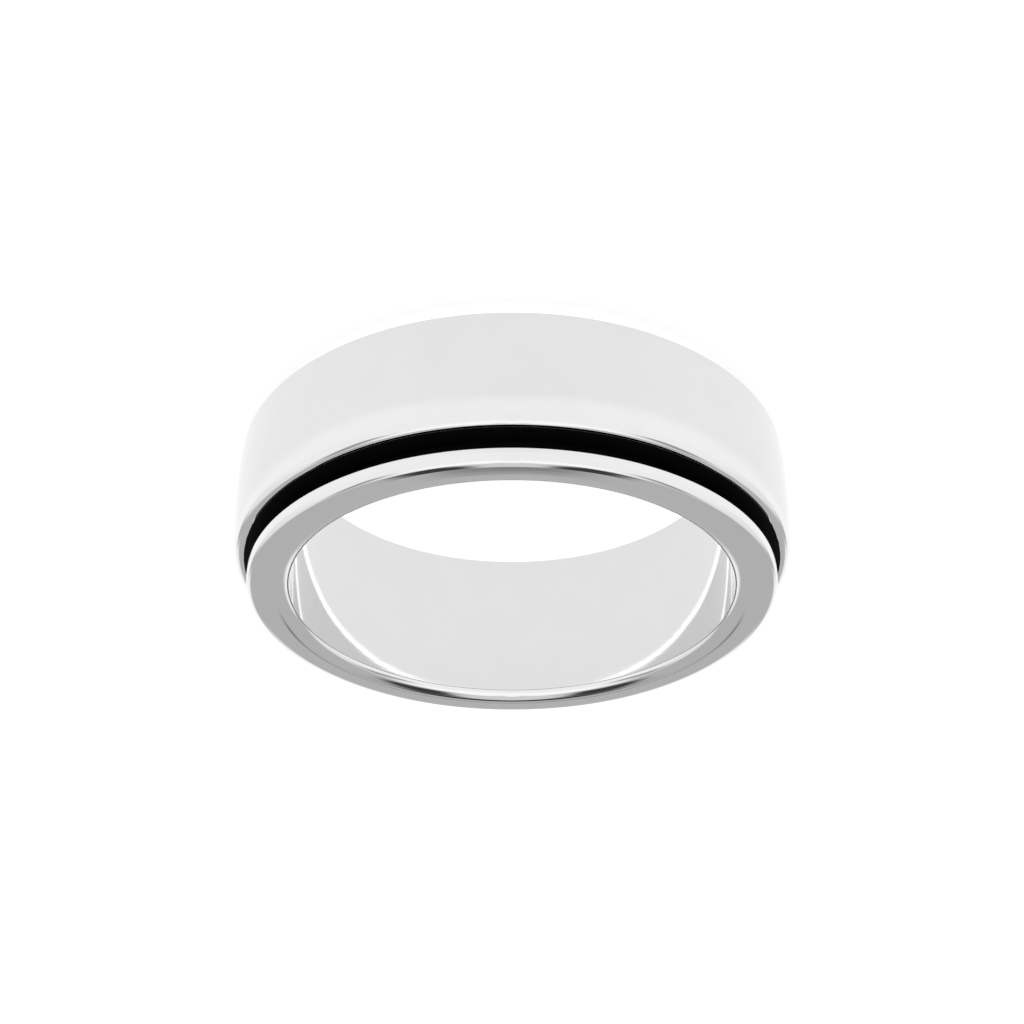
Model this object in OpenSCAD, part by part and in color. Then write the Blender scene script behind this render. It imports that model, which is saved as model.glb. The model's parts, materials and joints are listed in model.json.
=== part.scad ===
// Spinner ring, lying on its side. A sleeve goes round the finger and a loose outer band turns on it.
// The axis of the finger hole is +Z and the far rim, with the retaining lip, rests at z = 0.
// All sizes are in millimetres.

/* [Finger hole] */
// Inside diameter of the sleeve
bore_d = 18.1; // [15:0.1:22]
// Radius that eases the finger hole's edge at the flange
bore_edge_top = 0.5; // [0.2:0.05:0.7]
// Radius that eases the finger hole's edge at the lip
bore_edge_low = 0.3; // [0.15:0.05:0.35]

/* [Sleeve] */
// Wall between the finger hole and the groove's floor
sleeve_wall = 0.8; // [0.7:0.05:1.4]

/* [Flange] */
// Thickness of the flange along the axis
flange_w = 0.6; // [0.5:0.05:1.5]
// Height of the flange above the groove's floor
flange_h = 0.9; // [0.5:0.05:1.2]
// Radius on the flange's outer edge at its face
flange_edge = 0.4; // [0.05:0.05:0.4]
// Radius on the flange's outer edge at the groove
flange_back_edge = 0.06; // [0.02:0.01:0.1]

/* [Retaining lip] */
// Thickness of the lip along the axis
lip_w = 0.8; // [0.65:0.05:1.5]
// Height of the lip above the groove's floor
lip_h = 0.35; // [0.25:0.05:1.2]
// Radius on the lip's outer edge, where the metal is rolled over
lip_edge = 0.55; // [0.1:0.05:0.55]
// Radius on the lip's outer edge at the groove
lip_back_edge = 0.04; // [0.02:0.01:0.05]

/* [Spinner band] */
// Width of the spinner band along the axis
spinner_w = 5; // [3.5:0.1:10]
// Wall of the spinner band at its middle
spinner_wall = 1.55; // [1.1:0.05:2.5]
// How far the middle of the spinner band stands above its edges
spinner_dome = 0.1; // [0.04:0.01:0.25]
// Radius on the spinner band's outer edges
spinner_edge = 0.5; // [0.1:0.05:0.6]
// Radius on the spinner band's inner edges
spinner_inner_edge = 0.1; // [0.04:0.02:0.2]

/* [Clearances] */
// Radial running clearance between the spinner band and the groove's floor
run_clear = 0.05; // [0.02:0.01:0.1]
// Gap left between the spinner band and the lip that it rests on
seat_clear = 0.05; // [0.02:0.01:0.1]
// Open gap between the spinner band and the flange
open_gap = 0.75; // [0.1:0.05:1.5]

/* [Hidden] */
$fn = 180;

bore_r = bore_d / 2;
floor_r = bore_r + sleeve_wall;
flange_r = floor_r + flange_h;
lip_r = floor_r + lip_h;

spinner_in_r = floor_r + run_clear;
spinner_out_r = spinner_in_r + spinner_wall;
spinner_low_z = lip_w + seat_clear;
spinner_top_z = spinner_low_z + spinner_w;
spinner_mid_z = (spinner_low_z + spinner_top_z) / 2;

flange_z = spinner_top_z + open_gap;
ring_w = flange_z + flange_w;

// The dome is an arc through the middle of the band and the two points where its outer edges begin
dome_half = spinner_w / 2 - spinner_edge;
dome_r = (dome_half * dome_half + spinner_dome * spinner_dome) / (2 * spinner_dome);
dome_centre_r = spinner_out_r - dome_r;
// Centre of the edge's arc, which touches the dome from inside and the band's side
// The arc stands proud by a hair, so that it crosses the dome instead of only touching it
edge_proud = 0.0005;
edge_centre_r = dome_centre_r + sqrt(pow(dome_r - spinner_edge, 2) - dome_half * dome_half) + edge_proud;
edge_tilt = asin(dome_half / (dome_r - spinner_edge));

// How far a cut runs past the surface that it cuts
over = 0.2;

// What a rounded corner leaves out of the square corner at [r, z]
// out is 1 on an outer corner and -1 on one at the hole, up is 1 on a top corner and -1 on a lower one
module corner_off(r, z, radius, out, up) {
    side = radius + over;
    translate([r - out * radius, z - up * radius])
        difference() {
            translate([out > 0 ? 0 : -side, up > 0 ? 0 : -side]) square(side);
            circle(radius);
        }
}

// What the spinner band's rounded outer edge leaves out, from the point where the arc meets the dome
// up is 1 at the top edge and -1 at the lower one
module dome_corner_off(up) {
    reach = spinner_edge + over;
    translate([edge_centre_r, spinner_mid_z + up * dome_half])
        difference() {
            polygon([
                [0, 0],
                [2 * reach * cos(edge_tilt), up * 2 * reach * sin(edge_tilt)],
                [2 * reach, up * reach],
                [0, up * reach]
            ]);
            circle(spinner_edge);
        }
}

// Half section of the sleeve with its groove, to the right of the axis
module sleeve_section() {
    difference() {
        union() {
            translate([bore_r, 0]) square([sleeve_wall, ring_w]);
            translate([bore_r, flange_z]) square([sleeve_wall + flange_h, flange_w]);
            translate([bore_r, 0]) square([sleeve_wall + lip_h, lip_w]);
        }
        corner_off(bore_r, ring_w, bore_edge_top, -1, 1);
        corner_off(bore_r, 0, bore_edge_low, -1, -1);
        corner_off(flange_r, ring_w, flange_edge, 1, 1);
        corner_off(flange_r, flange_z, flange_back_edge, 1, -1);
        corner_off(lip_r, 0, lip_edge, 1, -1);
        corner_off(lip_r, lip_w, lip_back_edge, 1, 1);
    }
}

// Half section of the spinner band, to the right of the axis
module spinner_section() {
    difference() {
        intersection() {
            translate([spinner_in_r, spinner_low_z]) square([spinner_wall, spinner_w]);
            translate([dome_centre_r, spinner_mid_z]) circle(dome_r, $fn = 720);
        }
        for (up = [-1, 1]) dome_corner_off(up);
        corner_off(spinner_in_r, spinner_top_z, spinner_inner_edge, -1, 1);
        corner_off(spinner_in_r, spinner_low_z, spinner_inner_edge, -1, -1);
    }
}

module inner_band() color([0.72, 0.72, 0.73]) rotate_extrude() sleeve_section();
module spinner_band() color([0.88, 0.88, 0.89]) rotate_extrude() spinner_section();

inner_band();
spinner_band();
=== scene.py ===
# A finger ring of two silver bands: a sleeve that goes round the finger, and an outer band that turns on
# the sleeve. The ring lies on its side on a pale floor, with the axis of the finger hole along Z. All sizes
# are in metres.
import json
import math

import bpy
from mathutils import Matrix, Vector


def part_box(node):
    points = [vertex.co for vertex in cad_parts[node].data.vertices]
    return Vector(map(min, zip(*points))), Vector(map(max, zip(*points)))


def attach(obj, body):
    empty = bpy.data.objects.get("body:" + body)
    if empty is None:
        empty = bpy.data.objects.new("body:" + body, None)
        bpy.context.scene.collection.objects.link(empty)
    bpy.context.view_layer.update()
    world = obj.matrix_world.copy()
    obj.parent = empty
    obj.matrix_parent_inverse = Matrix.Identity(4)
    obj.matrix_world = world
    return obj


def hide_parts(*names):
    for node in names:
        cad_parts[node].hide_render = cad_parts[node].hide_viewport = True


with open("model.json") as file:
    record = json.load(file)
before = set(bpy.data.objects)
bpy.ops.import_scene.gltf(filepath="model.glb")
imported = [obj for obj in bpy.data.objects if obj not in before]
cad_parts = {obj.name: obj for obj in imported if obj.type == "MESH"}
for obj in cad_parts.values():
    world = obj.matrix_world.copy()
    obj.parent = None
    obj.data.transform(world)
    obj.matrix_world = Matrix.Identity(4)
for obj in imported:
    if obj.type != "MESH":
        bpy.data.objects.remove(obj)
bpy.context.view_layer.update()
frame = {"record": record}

# The sleeve is one piece of sterling silver, turned to shape: the tube that touches the finger, a bright
# flange at the upper rim, and a lip at the lower rim, rolled over once the outer band is on.
# The groove between them is flat black, and the rest is polished bright.
MM = 0.001

sleeve_low, sleeve_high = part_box("inner_band")
finger_hole = next(m for m in frame["record"]["mounts"] if m["name"] == "finger_bore")
hole_r = finger_hole["dims"]["r_mm"] * MM
hole_low_z = finger_hole["pos_m"][2] - finger_hole["dims"]["length_mm"] * MM / 2

sleeve_wall = 0.8 * MM
flange_thickness = 0.6 * MM
lip_height = 0.35 * MM
groove_r = hole_r + sleeve_wall
flange_back_z = sleeve_high.z - flange_thickness
lip_r = groove_r + lip_height
lip_top_z = 0.8 * MM

# The straight wall of the finger hole starts where the rounding of its lower edge ends.
hole_round_low = hole_low_z
flange_round = 0.33 * MM
flange_back_round = 0.06 * MM
lip_round = 0.55 * MM
lip_top_round = 0.04 * MM
groove_round = 0.05 * MM

# Polishing has worn the face down towards the finger hole, in a long soft curve that steepens at the edge.
hole_edge_width = 0.8 * MM
hole_edge_drop = 0.36 * MM
hole_edge_bunching = 0.75
hole_edge_steps = 24

# The flat faces end in a crisp break, and the rounding of their outer edges starts there.
break_width = 0.39 * MM
break_slope = math.tan(math.radians(12))
break_round = 0.02 * MM

steps_per_turn = 512

# Each stretch of an outline is polished bright or flat black.
BRIGHT = 0.0
FLAT_BLACK = 1.0


def turned_outline(name, corners):
    """Closed outline of a turned piece, one row per corner: radius, height, rounding, finish up to it.
    Points just past each rounding hold the flat stretches flat, and the finish changes between them."""
    hold = 0.012 * MM
    points, rounding, finish = [], [], []
    for i, (r, z, rounded, colour) in enumerate(corners):
        here = Vector((r, z, 0))
        before = Vector((*corners[i - 1][:2], 0))
        after = Vector((*corners[(i + 1) % len(corners)][:2], 0))
        next_colour = corners[(i + 1) % len(corners)][3]
        if not rounded:
            points.append(here)
            rounding.append(0)
            finish.append(colour)
            continue
        back, on = (before - here).normalized(), (after - here).normalized()
        turn = math.pi - back.angle(on)
        reach = rounded * math.tan(turn / 2) + hold
        points += [here + back * reach, here, here + on * reach]
        rounding += [0, rounded, 0]
        finish += [colour, min(colour, next_colour), next_colour]
    mesh = bpy.data.meshes.new(name)
    mesh.from_pydata(points, [(i, (i + 1) % len(points)) for i in range(len(points))], [])
    mesh.attributes.new("rounding", "FLOAT", "POINT").data.foreach_set("value", rounding)
    mesh.attributes.new("black_share", "FLOAT", "POINT").data.foreach_set("value", finish)
    return mesh


def add_node(tree, kind, inputs=None, **settings):
    """Adds a node. Each of its inputs takes a value, or the output of another node."""
    node = tree.nodes.new(kind)
    for name, value in settings.items():
        setattr(node, name, value)
    for name, value in (inputs or {}).items():
        if isinstance(value, bpy.types.NodeSocket):
            tree.links.new(value, node.inputs[name])
        else:
            node.inputs[name].default_value = value
    return node


def lathe_tree():
    """Nodes that round an outline's corners and turn it about Z, as a lathe does."""
    tree = bpy.data.node_groups.new("turned on a lathe", "GeometryNodeTree")
    tree.interface.new_socket("Outline", in_out="INPUT", socket_type="NodeSocketGeometry")
    for label, kind in (
        ("Middle Radius", "NodeSocketFloat"),
        ("Steps per Turn", "NodeSocketInt"),
        ("Steps per Corner", "NodeSocketInt"),
        ("Finish", "NodeSocketMaterial"),
    ):
        tree.interface.new_socket(label, in_out="INPUT", socket_type=kind)
    tree.interface.new_socket("Piece", in_out="OUTPUT", socket_type="NodeSocketGeometry")

    given = add_node(tree, "NodeGroupInput").outputs
    outline = add_node(tree, "GeometryNodeMeshToCurve", {"Mesh": given["Outline"]})
    rounding = add_node(tree, "GeometryNodeInputNamedAttribute", {"Name": "rounding"}, data_type="FLOAT")
    rounded = add_node(
        tree,
        "GeometryNodeFilletCurve",
        {
            "Curve": outline.outputs["Curve"],
            "Radius": rounding.outputs["Attribute"],
            "Count": given["Steps per Corner"],
            "Limit Radius": True,
        },
        mode="POLY",
    )

    # A curve swept along a level circle comes out upside down, so the outline is turned over first.
    place = add_node(tree, "GeometryNodeInputPosition")
    middle = add_node(tree, "ShaderNodeCombineXYZ", {"X": given["Middle Radius"]})
    about_middle = add_node(
        tree,
        "ShaderNodeVectorMath",
        {0: place.outputs["Position"], 1: middle.outputs["Vector"]},
        operation="SUBTRACT",
    )
    turned_over = add_node(
        tree, "ShaderNodeVectorMath", {0: about_middle.outputs["Vector"], 1: (1, -1, 1)}, operation="MULTIPLY"
    )
    placed = add_node(
        tree,
        "GeometryNodeSetPosition",
        {"Geometry": rounded.outputs["Curve"], "Position": turned_over.outputs["Vector"]},
    )

    path = add_node(
        tree,
        "GeometryNodeCurvePrimitiveCircle",
        {"Resolution": given["Steps per Turn"], "Radius": given["Middle Radius"]},
        mode="RADIUS",
    )
    level = add_node(tree, "GeometryNodeSetCurveNormal", {"Curve": path.outputs["Curve"]}, mode="Z_UP")
    swept = add_node(
        tree,
        "GeometryNodeCurveToMesh",
        {"Curve": level.outputs["Curve"], "Profile Curve": placed.outputs["Geometry"]},
    )
    smooth = add_node(tree, "GeometryNodeSetShadeSmooth", {"Geometry": swept.outputs["Mesh"]})
    solid = add_node(tree, "GeometryNodeRealizeInstances", {"Geometry": smooth.outputs["Geometry"]})
    finished = add_node(
        tree, "GeometryNodeSetMaterial", {"Geometry": solid.outputs["Geometry"], "Material": given["Finish"]}
    )
    add_node(tree, "NodeGroupOutput", {"Piece": finished.outputs["Geometry"]})
    return tree


def add_object(name, data):
    """Puts an object with this mesh or camera in the scene, unmoved."""
    added = bpy.data.objects.new(name, data)
    bpy.context.scene.collection.objects.link(added)
    return added


def turn_on_lathe(name, outline, tree, sizes):
    """Runs the lathe's nodes on an outline and returns the turned piece as a plain mesh."""
    blank = add_object(name + " outline", outline)
    turning = blank.modifiers.new("lathe", "NODES")
    turning.node_group = tree
    for socket in tree.interface.items_tree:
        if socket.in_out == "INPUT" and socket.name in sizes:
            turning[socket.identifier] = sizes[socket.name]
    evaluated = blank.evaluated_get(bpy.context.evaluated_depsgraph_get())
    mesh = bpy.data.meshes.new_from_object(evaluated)
    mesh.name = name
    bpy.data.objects.remove(blank)
    return add_object(name, mesh)


def calculator(tree):
    """Gives the function that adds one sum to this tree and returns its result."""
    def calculate(operation, *values):
        return add_node(tree, "ShaderNodeMath", dict(enumerate(values)), operation=operation).outputs["Value"]

    return calculate


def grey(level):
    return (level, level, level, 1)


def silver_finish(name, seed):
    """Polished silver, and flat black where the piece's black share attribute says so.
    The polishing marks run round the ring, and the seed sets where the clouds and marks fall."""
    material = bpy.data.materials.new(name)
    material.use_nodes = True
    tree = material.node_tree
    shader = tree.nodes["Principled BSDF"]
    shader.inputs["Specular IOR Level"].default_value = 0.03
    calculate = calculator(tree)

    def between(share, low, high):
        return add_node(
            tree, "ShaderNodeMapRange", {"Value": share, "To Min": low, "To Max": high}
        ).outputs["Result"]

    def clouds(size, detail, offset):
        moved = add_node(
            tree, "ShaderNodeVectorMath", {0: place.outputs["Object"], 1: (seed, offset, 0)}, operation="ADD"
        )
        return add_node(
            tree,
            "ShaderNodeTexNoise",
            {"Vector": moved.outputs["Vector"], "Scale": 1 / size, "Detail": detail, "Roughness": 0.6},
        ).outputs["Fac"]

    place = add_node(tree, "ShaderNodeTexCoord")
    split = add_node(tree, "ShaderNodeSeparateXYZ", {"Vector": place.outputs["Object"]})
    flat = add_node(
        tree, "ShaderNodeVectorMath", {0: place.outputs["Object"], 1: (1, 1, 0)}, operation="MULTIPLY"
    )
    radius = add_node(
        tree, "ShaderNodeVectorMath", {0: flat.outputs["Vector"]}, operation="LENGTH"
    ).outputs["Value"]
    round_x = calculate("DIVIDE", split.outputs["X"], radius)
    round_y = calculate("DIVIDE", split.outputs["Y"], radius)
    mark_width = 0.06 * MM
    along = add_node(
        tree,
        "ShaderNodeCombineXYZ",
        {"X": round_x, "Y": round_y, "Z": calculate("DIVIDE", split.outputs["Z"], mark_width)},
    )
    marks = add_node(
        tree,
        "ShaderNodeTexNoise",
        {
            "Vector": along.outputs["Vector"],
            "W": calculate("ADD", calculate("DIVIDE", radius, mark_width), seed * 1000),
            "Scale": 1,
            "Detail": 3,
        },
        noise_dimensions="4D",
    ).outputs["Fac"]
    worn = clouds(size=1.6 * MM, detail=3, offset=0.1)
    wavy = clouds(size=2.6 * MM, detail=1, offset=0.2)
    grain = clouds(size=0.05 * MM, detail=3, offset=0.3)
    patches = clouds(size=0.35 * MM, detail=4, offset=0.4)

    # The edge of the black is uneven, moved to and fro by noise.
    black_attribute = add_node(tree, "ShaderNodeAttribute", attribute_name="black_share").outputs["Fac"]
    black = add_node(
        tree,
        "ShaderNodeMapRange",
        {
            "Value": calculate("ADD", black_attribute, between(patches, -0.3, 0.3)),
            "From Min": 0.4,
            "From Max": 0.6,
        },
        interpolation_type="SMOOTHSTEP",
    ).outputs["Result"]

    silver = add_node(
        tree,
        "ShaderNodeMix",
        {"Factor": worn, "A": grey(0.73), "B": grey(0.77)},
        data_type="RGBA",
    )
    # Near-black colour of the flat black stretches, a little lighter in patches.
    black_colour = add_node(
        tree,
        "ShaderNodeMix",
        {"Factor": patches, "A": grey(0.0015), "B": grey(0.005)},
        data_type="RGBA",
    )
    colour = add_node(
        tree,
        "ShaderNodeMix",
        {"Factor": black, "A": silver.outputs["Result"], "B": black_colour.outputs["Result"]},
        data_type="RGBA",
    )
    roughness = add_node(
        tree,
        "ShaderNodeMix",
        {
            "Factor": black,
            "A": calculate("ADD", between(worn, 0.03, 0.06), between(marks, 0.0, 0.02)),
            "B": between(grain, 0.45, 0.7),
        },
    )
    wave_height = 0.004 * MM
    mark_depth = 0.0006 * MM
    waves = add_node(tree, "ShaderNodeBump", {"Height": wavy, "Distance": wave_height})
    relief = add_node(tree, "ShaderNodeMix", {"Factor": black, "A": marks, "B": grain})
    fine = add_node(
        tree,
        "ShaderNodeBump",
        {"Height": relief.outputs["Result"], "Distance": mark_depth, "Normal": waves.outputs["Normal"]},
    )
    tree.links.new(colour.outputs["Result"], shader.inputs["Base Color"])
    tree.links.new(calculate("SUBTRACT", 1, black), shader.inputs["Metallic"])
    tree.links.new(roughness.outputs["Result"], shader.inputs["Roughness"])
    tree.links.new(fine.outputs["Normal"], shader.inputs["Normal"])
    return material


def hole_edge_point(share):
    """Point of the hole's worn edge, from 0 down in the hole to 1 where the flat of the face begins."""
    lean = (1 - share) ** hole_edge_bunching * math.pi / 2
    r = hole_r + hole_edge_width * (1 - math.sin(lean))
    return (r, sleeve_high.z - hole_edge_drop * (1 - math.cos(lean)), 0, BRIGHT)


lathe = lathe_tree()
sleeve_outline = turned_outline(
    "sleeve outline",
    [
        *[hole_edge_point(i / hole_edge_steps) for i in range(hole_edge_steps + 1)],
        (sleeve_high.x - break_width, sleeve_high.z, break_round, BRIGHT),
        (sleeve_high.x, sleeve_high.z - break_width * break_slope, flange_round, BRIGHT),
        (sleeve_high.x, flange_back_z, flange_back_round, BRIGHT),
        (groove_r, flange_back_z, groove_round, FLAT_BLACK),
        (groove_r, lip_top_z, groove_round, FLAT_BLACK),
        (lip_r, lip_top_z, lip_top_round, FLAT_BLACK),
        (lip_r, sleeve_low.z, lip_round, BRIGHT),
        (hole_r, sleeve_low.z, hole_round_low, BRIGHT),
    ],
)
sleeve = turn_on_lathe(
    "sleeve",
    sleeve_outline,
    lathe,
    {
        "Middle Radius": groove_r,
        "Steps per Turn": steps_per_turn,
        "Steps per Corner": 10,
        "Finish": silver_finish("polished sleeve silver", 3),
    },
)
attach(sleeve, "sleeve")
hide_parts("inner_band")

# The spinner band is the wide outer band, also sterling silver. Its outside is turned to a faint dome and
# polished, with soft rounded edges, and its two sides are flat black like the groove that it runs in.
spinner_low, spinner_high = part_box("spinner_band")
spinner_r = min(spinner_high.x, spinner_high.y)
running_gap = 0.05 * MM
spinner_inner_r = groove_r + running_gap
spinner_round = 0.4 * MM
spinner_inner_round = 0.1 * MM
dome_rise = 0.1 * MM
dome_steps = 16
# The spinner's flat sides are black out to this radius.
black_to_r = 10.93 * MM
side_end_r = 10.99 * MM
uneven = 0.04 * MM

spinner_mid_z = (spinner_low.z + spinner_high.z) / 2
dome_half = (spinner_high.z - spinner_low.z) / 2 - spinner_round
dome_r = (dome_half ** 2 + dome_rise ** 2) / (2 * dome_rise)
dome_lean = math.asin(dome_half / dome_r)
spinner_edge_r = spinner_r - dome_rise - spinner_round * math.tan(dome_lean)
spinner_edge_fall = (spinner_edge_r - side_end_r) * break_slope


def dome_point(share):
    """Point of the dome at a share of its height, from 1 at the upper edge to -1 at the lower one."""
    lean = share * dome_lean
    r = spinner_r - dome_r * (1 - math.cos(lean))
    return (r, spinner_mid_z + dome_r * math.sin(lean), 0, BRIGHT)


spinner_outline = turned_outline(
    "spinner outline",
    [
        (spinner_inner_r, spinner_high.z, spinner_inner_round, FLAT_BLACK),
        (black_to_r - uneven, spinner_high.z, 0, FLAT_BLACK),
        (black_to_r + uneven, spinner_high.z, 0, BRIGHT),
        (side_end_r, spinner_high.z, break_round, BRIGHT),
        (spinner_edge_r, spinner_high.z - spinner_edge_fall, spinner_round, BRIGHT),
        *[dome_point(1 - 2 * i / dome_steps) for i in range(dome_steps + 1)],
        (spinner_edge_r, spinner_low.z + spinner_edge_fall, spinner_round, BRIGHT),
        (side_end_r, spinner_low.z, break_round, BRIGHT),
        (black_to_r + uneven, spinner_low.z, 0, BRIGHT),
        (black_to_r - uneven, spinner_low.z, 0, FLAT_BLACK),
        (spinner_inner_r, spinner_low.z, spinner_inner_round, FLAT_BLACK),
    ],
)
spinner = turn_on_lathe(
    "spinner",
    spinner_outline,
    lathe,
    {
        "Middle Radius": spinner_inner_r,
        "Steps per Turn": steps_per_turn,
        "Steps per Corner": 12,
        "Finish": silver_finish("polished spinner silver", 7),
    },
)
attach(spinner, "spinner")
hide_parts("spinner_band")

# The camera stands above the floor at the photograph's angle to the ring and looks down at the flanged rim.
# It is turned half a turn about its own line of sight, so the flange is at the lower side of the picture.
camera_lift = math.radians(30.78)
camera_distance = 75 * MM
ring_middle = Vector((0, 0, 3.5 * MM))
picture_shift = 0.511 * MM
look = Vector((0, math.cos(camera_lift), -math.sin(camera_lift)))
picture_right = Vector((-1, 0, 0))
picture_up = picture_right.cross(look)
camera_data = bpy.data.cameras.new("camera")
camera_data.lens = 63.17
camera_data.sensor_width = 36
camera_data.clip_start = 0.001
camera_data.clip_end = 10
camera = add_object("camera", camera_data)
camera_place = ring_middle - look * camera_distance + picture_up * picture_shift
camera_turn = Matrix((picture_right, picture_up, -look)).transposed().to_4x4()
camera.matrix_world = Matrix.Translation(camera_place) @ camera_turn
bpy.context.scene.camera = camera

# The floor is a sheet of white opal lit from below, as small jewels are photographed, so the ring throws
# almost no shadow. On top of its even glow it has painted light, brighter under the ring and a little so
# farther out, which the polished silver shows as painted reflections.
floor_reach = 1.5
floor_corners = [(x * floor_reach, y * floor_reach, 0) for x, y in ((-1, -1), (1, -1), (1, 1), (-1, 1))]
floor_data = bpy.data.meshes.new("floor")
floor_data.from_pydata(floor_corners, [], [(0, 1, 2, 3)])

sheet_glow = 1.06
# Painted light: extra glow under the ring's rim, far out and to the sides, on top of the sheet's even glow.
painted_foot_light = 0.9
painted_far_light = 0.1
painted_side_light = 0.03
sheet_lit_share = 0.88


def opal_sheet_with_painted_glow(name):
    material = bpy.data.materials.new(name)
    material.use_nodes = True
    tree = material.node_tree
    tree.nodes.remove(tree.nodes["Principled BSDF"])
    calculate = calculator(tree)

    def rising(value, start, end, height):
        """Climbs softly from 0 at the start to the height at the end."""
        return add_node(
            tree,
            "ShaderNodeMapRange",
            {"Value": value, "From Min": start, "From Max": end, "To Max": height},
            interpolation_type="SMOOTHSTEP",
        ).outputs["Result"]

    place = add_node(tree, "ShaderNodeTexCoord").outputs["Object"]
    radius = add_node(tree, "ShaderNodeVectorMath", {0: place}, operation="LENGTH").outputs["Value"]
    split = add_node(tree, "ShaderNodeSeparateXYZ", {"Vector": place})
    sideways = calculate("ABSOLUTE", split.outputs["X"])
    turn = calculate("DEGREES", calculate("ARCTAN2", sideways, calculate("MULTIPLY", split.outputs["Y"], -1)))

    # Painted light: each extra glow grows between two radii from the axis, or between two turns in degrees
    # from the near side. The foot glow is a painted pool of light under the ring's rim, and the far and side
    # glows lift the floor farther out.
    foot = calculate(
        "SUBTRACT",
        rising(radius, 8.75 * MM, 9.1 * MM, painted_foot_light),
        rising(radius, 9.6 * MM, 10.6 * MM, painted_foot_light),
    )
    far = rising(calculate("MULTIPLY_ADD", turn, 0.037 * MM, radius), 20.4 * MM, 22.6 * MM, painted_far_light)
    aside = calculate("MULTIPLY", rising(turn, 8, 55, painted_side_light), rising(radius, 10.5 * MM, 13 * MM, 1))
    glow = calculate("ADD", calculate("ADD", foot, far), calculate("ADD", aside, sheet_glow))
    lit = add_node(tree, "ShaderNodeEmission", {"Strength": glow})
    white = add_node(tree, "ShaderNodeBsdfDiffuse", {"Color": grey(0.9)})
    sheet = add_node(
        tree,
        "ShaderNodeMixShader",
        {"Fac": sheet_lit_share, 1: white.outputs["BSDF"], 2: lit.outputs["Emission"]},
    )
    tree.links.new(sheet.outputs["Shader"], tree.nodes["Material Output"].inputs["Surface"])
    return material


floor_data.materials.append(opal_sheet_with_painted_glow("white opal sheet with painted glow"))
floor = add_object("floor", floor_data)

# The ring stands in a white light tent. Polished silver shows the tent more than itself, so its walls, window
# and cloths are set out for what the ring is to show. Each row is one part of the tent, the same to the left
# and to the right, and it covers the rows above it.
tent_white = 1.0
tent_parts = [
    # Light, turn from the far side (from, to), height above the floor (from, to), rise of that height for
    # each degree of turn, and soft edge, all in degrees.
    # Wall behind the camera and at the sides
    (1.12, (80, 185), (-5, 64), 0, 12),
    # Window all round the top
    (1.27, (0, 185), (64, 95), 0, 14),
    # Grey wall at the far side, with a bright gap at its foot
    (0.56, (0, 54), (-5, 74), 0, 7),
    (1.1, (7, 40), (-5, 14), 0, 4.5),
    # Black cloths that slant up to both sides, and grey ones beyond them
    (0.05, (4, 33), (44, 56), 0.5, 2.5),
    (0.35, (62, 108), (48, 60), 0, 6),
    # Black cloth in the middle, and a dark slit below it
    (0.01, (0, 4.5), (41.5, 50), 0, 2.2),
    (0.24, (0, 2.6), (30.8, 33.2), 0, 1.3),
    # Light strip above the cloths
    (0.8, (0, 14), (49, 72), 1.1, 3),
]


def tent_world():
    world = bpy.data.worlds.new("light tent")
    world.use_nodes = True
    tree = world.node_tree
    calculate = calculator(tree)

    def rising(value, at, soft):
        return add_node(
            tree,
            "ShaderNodeMapRange",
            {"Value": value, "From Min": at - soft, "From Max": at + soft},
            interpolation_type="SMOOTHSTEP",
        ).outputs["Result"]

    direction = add_node(tree, "ShaderNodeTexCoord").outputs["Generated"]
    split = add_node(tree, "ShaderNodeSeparateXYZ", {"Vector": direction})
    sideways = calculate("ABSOLUTE", split.outputs["X"])
    turn = calculate("DEGREES", calculate("ARCTAN2", sideways, split.outputs["Y"]))
    height = calculate("DEGREES", calculate("ARCSINE", split.outputs["Z"]))
    light = tent_white
    for part_light, (turn_from, turn_to), (height_from, height_to), rise, soft in tent_parts:
        share = calculate("SUBTRACT", 1, rising(turn, turn_to, soft))
        if turn_from > 0:
            share = calculate("MULTIPLY", share, rising(turn, turn_from, soft))
        level = calculate("SUBTRACT", height, calculate("MULTIPLY", turn, rise))
        share = calculate("MULTIPLY", share, rising(level, height_from, soft))
        share = calculate("MULTIPLY", share, calculate("SUBTRACT", 1, rising(level, height_to, soft)))
        rest = calculate("MULTIPLY", calculate("SUBTRACT", 1, share), light)
        light = calculate("MULTIPLY_ADD", share, part_light, rest)
    tree.links.new(light, tree.nodes["Background"].inputs["Color"])
    return world


bpy.context.scene.world = tent_world()
bpy.context.scene.view_settings.view_transform = "Standard"

# Light is thrown to and fro many times along the inside of the ring.
bpy.context.scene.cycles.glossy_bounces = 12
